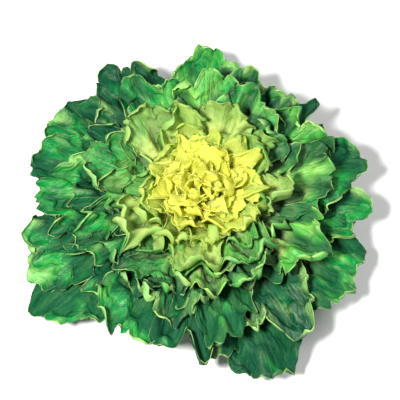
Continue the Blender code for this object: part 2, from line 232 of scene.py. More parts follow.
class ColourSettings(bpy.types.PropertyGroup):
    """Colours of the leaves, from the blanched heart to the outside, and of the stem."""

    cream: FloatVectorProperty(
        name="Cream", description="Ribs and the very heart",
        default=(0.98, 0.97, 0.58), subtype="COLOR",
    )
    yellow: FloatVectorProperty(
        name="Yellow", description="Heart leaves",
        default=(0.97, 0.94, 0.20), subtype="COLOR",
    )
    lime: FloatVectorProperty(
        name="Lime", description="Inner leaves",
        default=(0.66, 0.80, 0.22), subtype="COLOR",
    )
    fresh: FloatVectorProperty(
        name="Fresh green", description="Middle leaves",
        default=(0.12, 0.47, 0.06), subtype="COLOR",
    )
    green: FloatVectorProperty(
        name="Green", description="Outer leaves",
        default=(0.004, 0.31, 0.047), subtype="COLOR",
    )
    dark: FloatVectorProperty(
        name="Dark green", description="Shaded outer leaves",
        default=(0.0, 0.066, 0.025), subtype="COLOR",
    )
    # painted highlight for the crests of the folds; it also tints the pale vein streaks
    crest: FloatVectorProperty(
        name="Crest", description="Where the folds stand up",
        default=(0.40, 0.74, 0.20), subtype="COLOR",
    )
    rim: FloatVectorProperty(
        name="Rim", description="Thin pale edge of the leaves",
        default=(0.50, 0.72, 0.22), subtype="COLOR",
    )
    stem: FloatVectorProperty(
        name="Stem", description="Flesh of the stem",
        default=(0.72, 0.70, 0.45), subtype="COLOR",
    )
    browned: FloatVectorProperty(
        name="Browned", description="Where the stem has dried",
        default=(0.50, 0.40, 0.20), subtype="COLOR",
    )
    fibre: FloatVectorProperty(
        name="Fibre", description="Pale grain of the stem",
        default=(0.80, 0.78, 0.58), subtype="COLOR",
    )


class StageSettings(bpy.types.PropertyGroup):
    """Floor, light and camera."""

    elevation: FloatProperty(
        name="Elevation", description="How high the camera looks down from",
        default=math.radians(69), subtype="ANGLE",
    )
    distance: FloatProperty(
        name="Distance", description="From the camera to the head",
        default=1.3, subtype="DISTANCE",
    )
    view_width: FloatProperty(
        name="View width", description="Width of the view at the head",
        default=0.364, subtype="DISTANCE",
    )
    key: FloatProperty(
        name="Key light", description="Power of the main soft light",
        default=37.0, subtype="POWER",
    )
    sky: FloatProperty(name="Sky", description="Strength of the even light all round", default=0.21)


def smooth(x):
    x = np.clip(x, 0, 1)
    return x * x * (3 - 2 * x)


def profile(rank, along):
    """Radius and height of a shell's side view: rank 0 to 1 from the middle out, along 0 to 1 root to tip."""
    rank = np.clip(rank, 0.002, 1.3)
    tilt = np.radians(104) * rank**0.95
    root = np.array([ROOT_RADIUS * np.sin(tilt), CROWN_WAIST + ROOT_RISE * np.cos(tilt)])
    tip = np.array([HEAD_RADIUS * rank**1.12, HEART_HEIGHT - (HEART_HEIGHT - RIM_HEIGHT) * rank**2.6])
    chord = np.hypot(*(tip - root))
    leaving = np.radians(90 - 50 * rank**1.3)
    arriving = np.radians(90 - 108 * rank**1.5)
    first = root + 0.42 * chord * np.array([np.cos(leaving), np.sin(leaving)])
    second = tip - 0.38 * chord * np.array([np.cos(arriving), np.sin(arriving)])
    back = 1 - along
    return back**3 * root + 3 * back**2 * along * first + 3 * back * along**2 * second + along**3 * tip


def shared_folds(rank, along, azimuth, folds):
    """How far outwards the folds that neighbouring leaves share move a point, in metres."""
    wander = azimuth + 0.09 * np.sin(3 * azimuth + 4 * rank) + 0.05 * np.sin(5 * azimuth + 1.7)
    total = np.zeros_like(wander)
    for count, drift, slant, height, first in folds:
        fold = height * np.sin(count * wander + drift * rank + slant * along)
        total = total + fold * smooth((rank - first) / 0.45)
    return total * smooth((along - 0.2) / 0.5)


def place(rank, along, azimuth, folds=FOLDS):
    """Points in space, from their shell, their share of the way to the tip and their azimuth."""
    spacing = shell_spacing(np.clip(rank, 0.02, 1.25), along)
    rank = rank + shared_folds(rank, along, azimuth, folds) / spacing
    radius, height = profile(rank, along)
    ease = FLOOR_EASE - LOWEST_BLADE
    low = LOWEST_BLADE + ease * np.exp(np.minimum(height - FLOOR_EASE, 0) / ease)
    height = np.where(height < FLOOR_EASE, low, height)
    return np.stack([radius * np.cos(azimuth), radius * np.sin(azimuth), height], axis=-1)


def shell_spacing(rank, along):
    """Metres between shells for one unit of rank."""
    step = 0.01
    nearer, further = profile(rank - step / 2, along), profile(rank + step / 2, along)
    return np.hypot(*(further - nearer)) / step


def shell_length(rank):
    along = np.linspace(0, 1, 25)
    radius, height = profile(np.full(25, rank), along)
    return np.hypot(np.diff(radius), np.diff(height)).sum()


class Leaf:
    """One leaf: where it grows, its outline and how it waves."""

    def __init__(self, number, rng, fine_rng, young=None):
        self.in_heart = young[0] < HEART_RANK if young else number < HEART_LEAVES
        if self.in_heart and not young:
            outward = (number + 0.5) / HEART_LEAVES
            self.rank = FIRST_HEART_RANK + (HEART_RANK - FIRST_HEART_RANK) * outward
            self.azimuth = number * GOLDEN_ANGLE
            self.reach = rng.uniform(0.86, 1.0)
            self.half_width = (8 + 15 * outward) * MM
            self.root_half_width = 2.6 * MM
            self.lean = rng.uniform(-3, 3) * MM
            size, wave, frill, waves = 0.7, HEART_WAVE, 0, HEART_WAVES_ROUND
            cup, curl = (-6, 3), (-2, 8)
            lobes, self.lobe_depth = 9.5, HEART_LOBE_DEPTH
            self.unevenness, self.end_narrowing = 0, 0.18
        elif young:
            self.rank, self.azimuth, self.reach, self.half_width = young
            self.root_half_width = 2.6 * MM if self.in_heart else 4 * MM
            self.lean = rng.uniform(-4, 4) * MM
            size, waves = (0.5, 5.0) if self.in_heart else (0.8, 6.5)
            wave, frill = size * WAVE, 0.8 * FRILL
            cup, curl = ((-4, 8), (6, 18)) if self.in_heart else ((-8, 2), (-8, 6))
            lobes, self.lobe_depth = 9.5, LOBE_DEPTH
            self.unevenness, self.end_narrowing = 0.12, 0.16
        else:
            big = number - HEART_LEAVES
            azimuth, tip, half_width, lean = BIG_LEAVES[big]
            self.rank = FIRST_BIG_RANK + (1 - FIRST_BIG_RANK) * big / (len(BIG_LEAVES) - 1)
            self.azimuth = math.radians(azimuth)
            along = np.linspace(0.6, 1.15, 56)
            self.reach = float(np.interp(tip * MM, profile(np.full(56, self.rank), along)[0], along))
            self.half_width = half_width * MM
            self.root_half_width = ROOT_HALF_WIDTH
            self.lean = lean * MM
            size, wave, frill, waves = 1.0, WAVE, FRILL, WAVES_ROUND
            cup, curl = (-8, 2), (-8, 6)
            lobes, self.lobe_depth = 0, LOBE_DEPTH
            self.unevenness, self.end_narrowing = 0.12, 0.16
        self.number = number
        self.wave = wave * rng.uniform(0.8, 1.2)
        self.frill = frill * rng.uniform(0.6, 1.2)
        self.phases = rng.uniform(0, 2 * math.pi, 3)
        self.waves = waves + rng.uniform(-1, 1)
        self.frills = (FRILLS_ROUND - 3 if young else FRILLS_ROUND) + rng.uniform(-2, 2)
        self.lobes = lobes + rng.uniform(-1.5, 1.5)
        self.cup = size * rng.uniform(*cup) * MM
        self.twist = size * rng.uniform(-5, 5) * MM
        self.tip_curl = size * rng.uniform(*curl) * MM
        self.length = float(shell_length(self.rank)) * self.reach
        self.seed = fine_rng.uniform(0, 1)
        self.fine_phases = fine_rng.uniform(0, 2 * math.pi, 12)
        self.fine_size = float(0.4 + 0.6 * smooth((self.rank - 0.4) / 0.3))
        self.lift_size = fine_rng.uniform(0.5, 1.3) * (0.6 if self.in_heart else 1.0)
        self.curl_size = 0.7 if self.in_heart else 1.0
        self.curl_share = 0.55 if self.in_heart else fine_rng.uniform(0.85, 1.1)
        self.push = None

    def width(self, up):
        """Half the blade's width at this share of its length."""
        widening = smooth((up - 0.06) / 0.66)
        rounding = 1 - self.end_narrowing * np.clip((up - 0.76) / 0.24, 0, 1.2) ** 2
        return (self.root_half_width + (self.half_width - self.root_half_width) * widening) * rounding

    def margin(self, up, side):
        """0 along the midrib, 1 at the leaf's edge."""
        return 1 - (1 - np.clip(np.abs(side), 0, 1) ** 2) * (1 - np.clip(up, 0, 1) ** 7)

    def turn(self, up, side):
        """Angle round the middle of the blade, measured from its tip."""
        return np.arctan2(side * self.width(up), (up - 0.38) * self.length)

    def ruffle(self, up, side):
        """Where a point stands in the margin's row of ruffles, a full turn from one crest to the next."""
        turn = self.turn(up, side)
        return self.frills * (turn + self.unevenness * np.sin(2 * turn + self.phases[2])) + self.phases[1]

    def shift(self, up, side, fine=None):
        """How far the blade leaves its own shell, in metres, outwards positive."""
        turn, edge = self.turn(up, side), self.margin(up, side)
        uneven = turn + self.unevenness * np.sin(2 * turn + self.phases[2])
        wave = self.wave * edge**1.1 * np.sin(self.waves * uneven + self.phases[0])
        wave -= self.frill * edge**2 * np.sin(self.ruffle(up, side))
        shape = self.cup * side**2 + self.twist * side * up + self.lean * up**2 + self.tip_curl * up**5
        if fine:
            shape = shape + self.fine_shift(up, side, turn, edge, fine)
        return (wave + shape) * smooth(up / 0.45)

    def curls(self, turn):
        """Where a point stands in the margin's row of small curls."""
        p = self.fine_phases
        wander = turn + 0.11 * np.sin(4 * turn + p[7]) + 0.05 * np.sin(9 * turn + p[8])
        return CURLS_ROUND * self.curl_share * wander + p[9]

    def fine_shift(self, up, side, turn, edge, fine):
        """Curls and ruffles at the margin, and folds and blisters over the blade."""
        p, q = self.fine_phases, self.fine_phases[::-1]
        wander = turn + 0.08 * np.sin(5 * turn + p[0])
        strength = 0.7 + 0.5 * np.sin(3 * turn + p[2])
        ruffle = fine.ruffle * edge**5 * np.sin(RUFFLES_ROUND * wander + p[1]) * strength
        ruffle = ruffle + 0.45 * fine.ruffle * edge**8 * np.sin(1.9 * RUFFLES_ROUND * wander + p[6])
        ruffle = ruffle - self.curl_size * fine.curl * edge**3 * np.sin(self.curls(turn))
        x, y = side * self.width(up), up * self.length
        crease = np.zeros_like(x)
        for i in range(CREASES):
            wavelength = (9 + 2.4 * i) * MM
            heading = 2.4 * i + q[i]
            bend = 0.8 * np.sin((x * math.sin(heading) - y * math.cos(heading)) / (1.3 * wavelength) + p[i])
            way = (x * math.cos(heading) + y * math.sin(heading)) / wavelength
            crease = crease + wavelength * np.sin(2 * math.pi * way + bend + q[i - 3])
        fan = VEINS * np.abs(x) / CM / (np.maximum(y, 0) / CM + 1.5) ** 0.8
        pleat = fine.pleat * np.cos(2 * math.pi * (fan + 0.35 * np.sin(y / CM + p[4])))
        off_rib = smooth(np.abs(x) / (6 * MM)) * smooth((up - 0.15) / 0.3)
        return ruffle + off_rib * self.fine_size * (fine.crumple * crease + pleat * (1 - 0.5 * edge**4))

    def lift(self, up, side, fine):
        """How far a free margin curls up, most at the crests of ruffles and curls."""
        crests = 0.45 + 0.3 * np.sin(self.ruffle(up, side)) + 0.25 * np.sin(self.curls(self.turn(up, side)))
        return fine.lift * self.lift_size * self.margin(up, side) ** 2 * crests * smooth((up - 0.3) / 0.4)

    def swell(self, up, side, fine=None):
        """How far the crests of the ruffles widen over their troughs, across and along the blade."""
        swing = -SWELL * self.frill * self.margin(up, side) ** 2.5 * np.cos(self.ruffle(up, side))
        if fine:
            curl = self.curl_size * fine.curl * CURL_SWELL * np.cos(self.curls(self.turn(up, side)))
            swing = swing - curl * self.margin(up, side) ** 4
        swing = swing * smooth((up - 0.25) / 0.3)
        x, y = side * self.width(up), (up - 0.38) * self.length
        far = np.maximum(np.hypot(x, y), 5 * MM)
        return swing * y / far, -swing * x / far

    def lobe(self, up, side, fine=None):
        """How much nearer to the middle of the blade a point of the margin is drawn in."""
        turn = self.turn(up, side)
        if self.in_heart:
            notch = 0.5 - 0.5 * np.cos(self.lobes * turn + self.phases[2])
        else:
            notch = (0.5 - 0.5 * np.sin(self.ruffle(up, side))) ** 1.5
        outer = 1 - (1 - np.clip(np.abs(side), 0, 1) ** 2) * (1 - np.clip(up, 0, 1) ** 3)
        drawn_in = self.lobe_depth * outer * notch
        if fine:
            way = TEETH_ROUND * (turn + 0.06 * np.sin(7 * turn + self.fine_phases[11])) / (2 * math.pi)
            bite = way % 1 * (0.6 + 0.5 * np.sin(way * 0.9 + self.fine_phases[3]))
            bite = bite + 0.6 * (0.37 * way + self.seed) % 1
            drawn_in = drawn_in + fine.tooth / (0.5 * self.length) * self.margin(up, side) ** 10 * bite
            drawn_in = drawn_in + CURL_NOTCH * outer * (0.5 - 0.5 * np.sin(self.curls(turn))) ** 1.5
        return drawn_in * smooth((up - 0.2) / 0.3)

    def thickness(self, up, side):
        blade, rib = (HEART_BLADE, HEART_RIB) if self.in_heart else (BLADE, RIB)
        rib_here = (rib - blade) * (1 - smooth(up / 0.8)) * np.exp(-((side / 0.42) ** 2))
        root = (rib - blade) * (1 - smooth(up / 0.25)) * 0.6
        return np.minimum(rib, blade + np.maximum(rib_here, root))

    def pushed(self, up, side):
        """The rank that the push between the solids gave this place on the blade."""
        rows, columns = (HEART_ROWS, HEART_COLUMNS) if self.in_heart else (BIG_ROWS, BIG_COLUMNS)
        lines = [np.interp(up, rows, self.push[:, i]) for i in range(len(columns))]
        result = lines[0] * 0
        for i in range(len(columns) - 1):
            share = (side - columns[i]) / (columns[i + 1] - columns[i])
            here = (share >= 0) & ((share < 1) | (i == len(columns) - 2))
            result = np.where(here, lines[i] * (1 - share) + lines[i + 1] * share, result)
        return result


def shell_position(leaf, up, side, fine=None):
    """Share of the way along the shell, and azimuth, of a leaf's own point."""
    drawn_in = leaf.lobe(up, side, fine)
    rounded = up - 0.10 * np.clip(up, 0, 1) ** 5 * np.abs(side) ** 2.5
    sideways, onwards = leaf.swell(up, side, fine)
    along = (rounded - drawn_in * (rounded - 0.38) + onwards / leaf.length) * leaf.reach
    radius = profile(np.full_like(along, leaf.rank), along)[0]
    across = side * (1 - drawn_in) * leaf.width(up) + sideways
    return along, leaf.azimuth + across / np.maximum(radius, 6 * MM)


def leaf_position(leaf, along, azimuth):
    """The point of a leaf, as share of its length and of its half width, at a place on its shell."""
    up = along / leaf.reach
    radius = np.maximum(profile(np.full_like(along, leaf.rank), along)[0], 6 * MM)
    turn = (azimuth - leaf.azimuth + math.pi) % (2 * math.pi) - math.pi
    return up, turn * radius / leaf.width(up)


def settled_rank(leaf, leaves, up, side, fine=None):
    """The rank of a leaf's points once it and its neighbours have made room for each other."""
    along, azimuth = shell_position(leaf, up, side, fine)
    spacing = shell_spacing(np.full_like(along, leaf.rank), along)
    wanted = leaf.rank + leaf.shift(up, side, fine) / spacing
    low, high = np.full_like(along, -1.0), np.full_like(along, 9.0)
    for other in leaves:
        if other is leaf:
            continue
        other_up, other_side = leaf_position(other, along, azimuth)
        beyond = np.maximum(np.abs(other_side) - 1, 0) * other.width(other_up)
        beyond = np.maximum(beyond, (other_up - 1) * other.length)
        if fine and beyond.min() > FAR_APART:
            continue
        near_up, near_side = np.clip(other_up, 0, 1), np.clip(other_side, -1, 1)
        other_wanted = other.rank + other.shift(near_up, near_side, fine) / spacing
        walls = (leaf.thickness(up, side) + other.thickness(near_up, near_side)) / 2
        half = ((walls + CLEARANCE) / 2 - 0.6 * beyond) / spacing
        half = np.minimum(half, 0.5 * abs(leaf.rank - other.rank))
        middle = (wanted + other_wanted) / 2
        if other.rank < leaf.rank:
            middle = np.clip(middle, other.rank + half, leaf.rank - half)
            low = np.where(beyond < FAR_APART, np.maximum(low, middle + half), low)
        else:
            middle = np.clip(middle, leaf.rank + half, other.rank - half)
            high = np.where(beyond < FAR_APART, np.minimum(high, middle - half), high)
    return np.clip(wanted, low, high), along, azimuth


def cover(leaf, others, along, azimuth):
    """How far a leaf's points lie in under the leaves over it, in metres; negative outside them."""
    deepest = np.full_like(along, -1.0)
    radius = profile(np.full_like(along, leaf.rank), along)[0]
    shares = np.linspace(0, 1.2, 49)
    for other in others:
        if other.rank < leaf.rank:
            reach = profile(np.full_like(shares, other.rank), shares)[0]
            below = np.interp(radius, np.maximum.accumulate(reach), shares)
            up, side = leaf_position(other, below, azimuth)
            inside = np.minimum((1 - np.abs(side)) * other.width(up), (1 - up) * other.length)
            deepest = np.maximum(deepest, inside)
    return deepest


def sheet_grid(rows, columns):
    """A flat sheet whose points are at the given rows and columns."""
    shape = bmesh.new()
    bmesh.ops.create_grid(shape, x_segments=len(columns) - 1, y_segments=len(rows) - 1, size=1)
    for vert in shape.verts:
        column = round((vert.co.x + 1) / 2 * (len(columns) - 1))
        row = round((vert.co.y + 1) / 2 * (len(rows) - 1))
        vert.co = (columns[column], rows[row], 0)
    return shape


class Sheet:
    """A leaf's middle surface as coarse as its solid, with what it needs to be pushed about."""

    def __init__(self, leaf, leaves):
        self.rows, self.columns = (HEART_ROWS, HEART_COLUMNS) if leaf.in_heart else (BIG_ROWS, BIG_COLUMNS)
        self.leaf = leaf
        shape = sheet_grid(self.rows, self.columns)
        root = self.rows[0] + 1e-6
        margins = [e for e in shape.edges if e.is_boundary and max(v.co.y for v in e.verts) > root]
        bmesh.ops.subdivide_edges(shape, edges=margins, cuts=1)
        bmesh.ops.triangulate(shape, faces=shape.faces[:], quad_method="SHORT_EDGE", ngon_method="BEAUTY")
        shape.verts.index_update()
        flat = np.array([vert.co for vert in shape.verts])
        self.side, self.up = flat[:, 0], flat[:, 1]
        self.rank, self.along, self.azimuth = settled_rank(leaf, leaves, self.up, self.side)
        self.settled = self.rank.copy()
        self.spacing = shell_spacing(np.full_like(self.along, leaf.rank), self.along)
        self.wall = leaf.thickness(self.up, self.side)
        self.faces = np.array([[vert.index for vert in face.verts] for face in shape.faces])
        rim = [(edge.verts[0].index, edge.verts[1].index) for edge in shape.edges if edge.is_boundary]
        shape.free()
        count = len(flat)
        self.skin = [tuple(face) for face in self.faces] + [tuple(face + count) for face in self.faces]
        for first, second in rim:
            self.skin += [(first, second, second + count), (first, second + count, first + count)]
        self.corners = [np.array(face) % count for face in self.skin]

    def tree(self):
        """The thickened leaf, with half the clearance added all round, for finding touches."""
        points = drawn_to_core(self.leaf, self.up, place(self.rank, self.along, self.azimuth))
        a, b, c = (points[self.faces[:, i]] for i in range(3))
        face_normals = np.cross(b - a, c - a)
        normals = np.zeros_like(points)
        for i in range(3):
            np.add.at(normals, self.faces[:, i], face_normals)
        normals /= np.maximum(np.linalg.norm(normals, axis=1, keepdims=True), 1e-12)
        out = normals * ((self.wall + CLEARANCE) / 2)[:, None]
        return BVHTree.FromPolygons(np.vstack([points + out, points - out]).tolist(), self.skin)

    def keep_push(self):
        """Hand the leaf the push at each crossing of a row and a column."""
        moved = self.rank - self.settled
        places = {(round(u, 4), round(s, 4)): m for u, s, m in zip(self.up, self.side, moved)}
        grid = [[places[(round(u, 4), round(s, 4))] for s in self.columns] for u in self.rows]
        self.leaf.push = np.array(grid)


def drawn_to_core(leaf, up, points):
    """The roots of the heart's leaves bend in to its core."""
    if leaf.in_heart:
        share = smooth(1 - (up - HEART_ROWS[0]) / (HEART_ROWS[1] - HEART_ROWS[0]))
        points[:, :2] *= (1 - (1 - CORE_ROOT_SHARE) * share)[:, None]
    return points


def push_apart(sheets, rounds, still=0):
    """Move touching leaves apart, the inner one inwards and the outer one outwards."""
    held = [sheet.tree() for sheet in sheets[:still]]
    for _ in range(rounds):
        trees = held + [sheet.tree() for sheet in sheets[still:]]
        pushes = [np.zeros(len(sheet.rank)) for sheet in sheets]
        for j in range(max(still, 1), len(sheets)):
            for i in range(j):
                for pair in trees[i].overlap(trees[j]):
                    ours = [sheets[k].corners[pair[side]] for side, k in enumerate((i, j))]
                    if all(sheets[k].leaf.in_heart for k in (i, j)) and any(
                        sheets[k].up[ours[side]].min() < HEART_ROOT_END for side, k in enumerate((i, j))
                    ):
                        continue
                    way = 1 if sheets[i].leaf.rank < sheets[j].leaf.rank else -1
                    pushes[i][ours[0]] = -way * (i >= still)
                    pushes[j][ours[1]] = way
        if not any(push.any() for push in pushes):
            break
        for sheet, push in zip(sheets, pushes):
            sheet.rank = sheet.rank + push * PUSH / sheet.spacing


def make_leaves():
    """All the leaves from the middle outwards, pushed apart as coarse sheets; finer shapes may still cross."""
    rng, fine_rng = np.random.RandomState(SEED), np.random.RandomState(SEED + 1)
    leaves = [Leaf(number, rng, fine_rng) for number in range(HEART_LEAVES + len(BIG_LEAVES))]
    sheets = [Sheet(leaf, leaves) for leaf in leaves]
    push_apart(sheets, PUSH_ROUNDS)
    young = []
    for first, last, count, narrow, wide in YOUNG_LEAVES:
        for i in range(count):
            rank = first + (last - first) * (i + 0.5) / count
            half_width = (narrow + (wide - narrow) * i / count) * MM
            shape = (rank, 1.2 + i * GOLDEN_ANGLE, fine_rng.uniform(0.85, 1.06), half_width)
            young.append(Leaf(len(leaves) + len(young), fine_rng, fine_rng, shape))
    sheets += [Sheet(leaf, leaves) for leaf in young]
    push_apart(sheets, YOUNG_PUSH_ROUNDS, len(leaves))
    for sheet in sheets:
        sheet.keep_push()
    return leaves, young


def leaf_mesh(leaf, leaves, young, fine, count, across):
    """The leaf's fine middle surface, with its own coordinates kept for the colours."""
    start = HEART_ROWS[0] if leaf.in_heart else 0.0
    t = np.linspace(0, 1, count + 1)
    rows = start + (1 - start) * (t + 0.3 * t * (1 - t))
    t = np.linspace(-1, 1, across + 1)
    columns = 0.55 * np.sin(t * math.pi / 2) + 0.45 * t
    shape = sheet_grid(rows, columns)
    flat = np.array([vert.co for vert in shape.verts])
    side, up = flat[:, 0], flat[:, 1]
    rank, along, azimuth = settled_rank(leaf, leaves, up, side, fine)
    covered = cover(leaf, leaves + young, along, azimuth)
    lift = leaf.lift(up, side, fine) * smooth(-covered / FREE_MARGIN)
    rank = rank + leaf.pushed(up, side) - lift / shell_spacing(np.full_like(up, leaf.rank), along)
    points = place(rank, along, azimuth, FOLDS + FINE_FOLDS)
    points = drawn_to_core(leaf, up, points)
    for vert, point in zip(shape.verts, points):
        vert.co = point
    mesh = bpy.data.meshes.new("leaf")
    shape.to_mesh(mesh)
    shape.free()
    keep(mesh, "blade", np.stack([side, up, np.full_like(up, leaf.rank)], axis=-1))
    # relief of the folds, margin and depth under the leaves above, kept for the painted shade and painted
    # highlight in the finish
    folds = shared_folds(np.full_like(up, leaf.rank), along, azimuth, FOLDS + FINE_FOLDS)
    out = leaf.shift(up, side, fine) - lift + folds
    keep(mesh, "fold", np.stack([-out / CM, leaf.margin(up, side), covered / CM], axis=-1))
    size = [side * leaf.width(up) / CM, up * leaf.length / CM, np.full_like(up, leaf.seed)]
    keep(mesh, "size", np.stack(size, axis=-1))
    mesh.shade_smooth()
    return mesh, leaf.thickness(up, side) * THIN


def keep(mesh, name, values):
    layer = mesh.attributes.new(name, "FLOAT_VECTOR", "POINT")
    layer.data.foreach_set("vector", values.astype(np.float32).ravel())


def thicken(obj, walls, rim_slot):
    full = float(walls.max())
    group = obj.vertex_groups.new(name="thickness")
    for index, wall in enumerate(walls):
        group.add([index], float(wall) / full, "REPLACE")
    skin = obj.modifiers.new("Solidify", "SOLIDIFY")
    skin.thickness = full
    skin.offset = 0
    skin.vertex_group = group.name
    skin.material_offset_rim = rim_slot
    return skin


def applied(obj):
    """The object's mesh with its modifiers applied."""
    graph = bpy.context.evaluated_depsgraph_get()
    mesh = bpy.data.meshes.new_from_object(obj.evaluated_get(graph))
    obj.modifiers.clear()
    obj.vertex_groups.clear()
    obj.data = mesh
    return obj


# Finishes


class Wire:
    """A value that flows between a finish's nodes; arithmetic on it adds Math nodes."""

    def __init__(self, finish, socket):
        self.finish, self.socket = finish, socket

    def math(self, operation, *values):
        return self.finish.add("ShaderNodeMath", {"operation": operation}, *values)

    def __add__(self, other):
        return self.math("ADD", self, other)

    def __radd__(self, other):
        return self.math("ADD", other, self)

    def __sub__(self, other):
        return self.math("SUBTRACT", self, other)

    def __rsub__(self, other):
        return self.math("SUBTRACT", other, self)

    def __mul__(self, other):
        return self.math("MULTIPLY", self, other)

    def __rmul__(self, other):
        return self.math("MULTIPLY", other, self)

    def __truediv__(self, other):
        return self.math("DIVIDE", self, other)

    def __rtruediv__(self, other):
        return self.math("DIVIDE", other, self)

    def __pow__(self, other):
        return self.math("POWER", self, other)

    def __rpow__(self, other):
        return self.math("POWER", other, self)

    def __abs__(self):
        return self.math("ABSOLUTE", self)

    def most(self, other):
        return self.math("MAXIMUM", self, other)

    def part(self):
        return self.math("FRACT", self)

    def step(self, low, high, start=0.0, end=1.0):
        """Smoothly from start to end as the value goes from low to high."""
        settings = {"interpolation_type": "SMOOTHSTEP"}
        return self.finish.add("ShaderNodeMapRange", settings, self, low, high, start, end)


class Finish:
    """A material under construction."""

    def __init__(self, name):
        self.material = bpy.data.materials.new(name)
        self.material.use_nodes = True
        self.tree = self.material.node_tree
        self.tree.nodes.clear()

    def add(self, kind, settings, *values, output=0, **named):
        node = self.tree.nodes.new(kind)
        for key, value in settings.items():
            if key == "stops":
                ramp = node.color_ramp
                while len(ramp.elements) < len(value):
                    ramp.elements.new(1.0)
                for element, (position, colour) in zip(ramp.elements, value):
                    element.position, element.color = position, (*colour, 1)
            else:
                setattr(node, key, value)
        sockets = dict(enumerate(values)) | {name.replace("_", " "): value for name, value in named.items()}
        for key, value in sockets.items():
            socket = node.inputs[key]
            if isinstance(value, Wire):
                self.tree.links.new(value.socket, socket)
            elif value is not None:
                socket.default_value = (*value, 1) if socket.type == "RGBA" and len(value) == 3 else value
        return Wire(self, node.outputs[output])

    def attribute(self, name):
        """The three numbers of a mesh attribute."""
        vector = self.add("ShaderNodeAttribute", {"attribute_name": name}, output=1)
        return [self.add("ShaderNodeSeparateXYZ", {}, vector, output=i) for i in range(3)]

    def mix(self, share, first, second):
        """A colour between two others."""
        settings = {"data_type": "RGBA", "clamp_factor": True}
        return self.add("ShaderNodeMix", settings, share, *[None] * 5, first, second, output=2)

    def place(self):
        return self.add("ShaderNodeTexCoord", {}, output=3)

    def noise(self, vector, scale, detail=2.0, rough=0.5):
        return self.add("ShaderNodeTexNoise", {}, Vector=vector, Scale=scale, Detail=detail, Roughness=rough)

    def point(self, x, y, z=0.0):
        return self.add("ShaderNodeCombineXYZ", {}, x, y, z)

    def finish(self, shader):
        node = self.tree.nodes.new("ShaderNodeOutputMaterial")
        self.tree.links.new(shader.socket, node.inputs["Surface"])
        return self.material


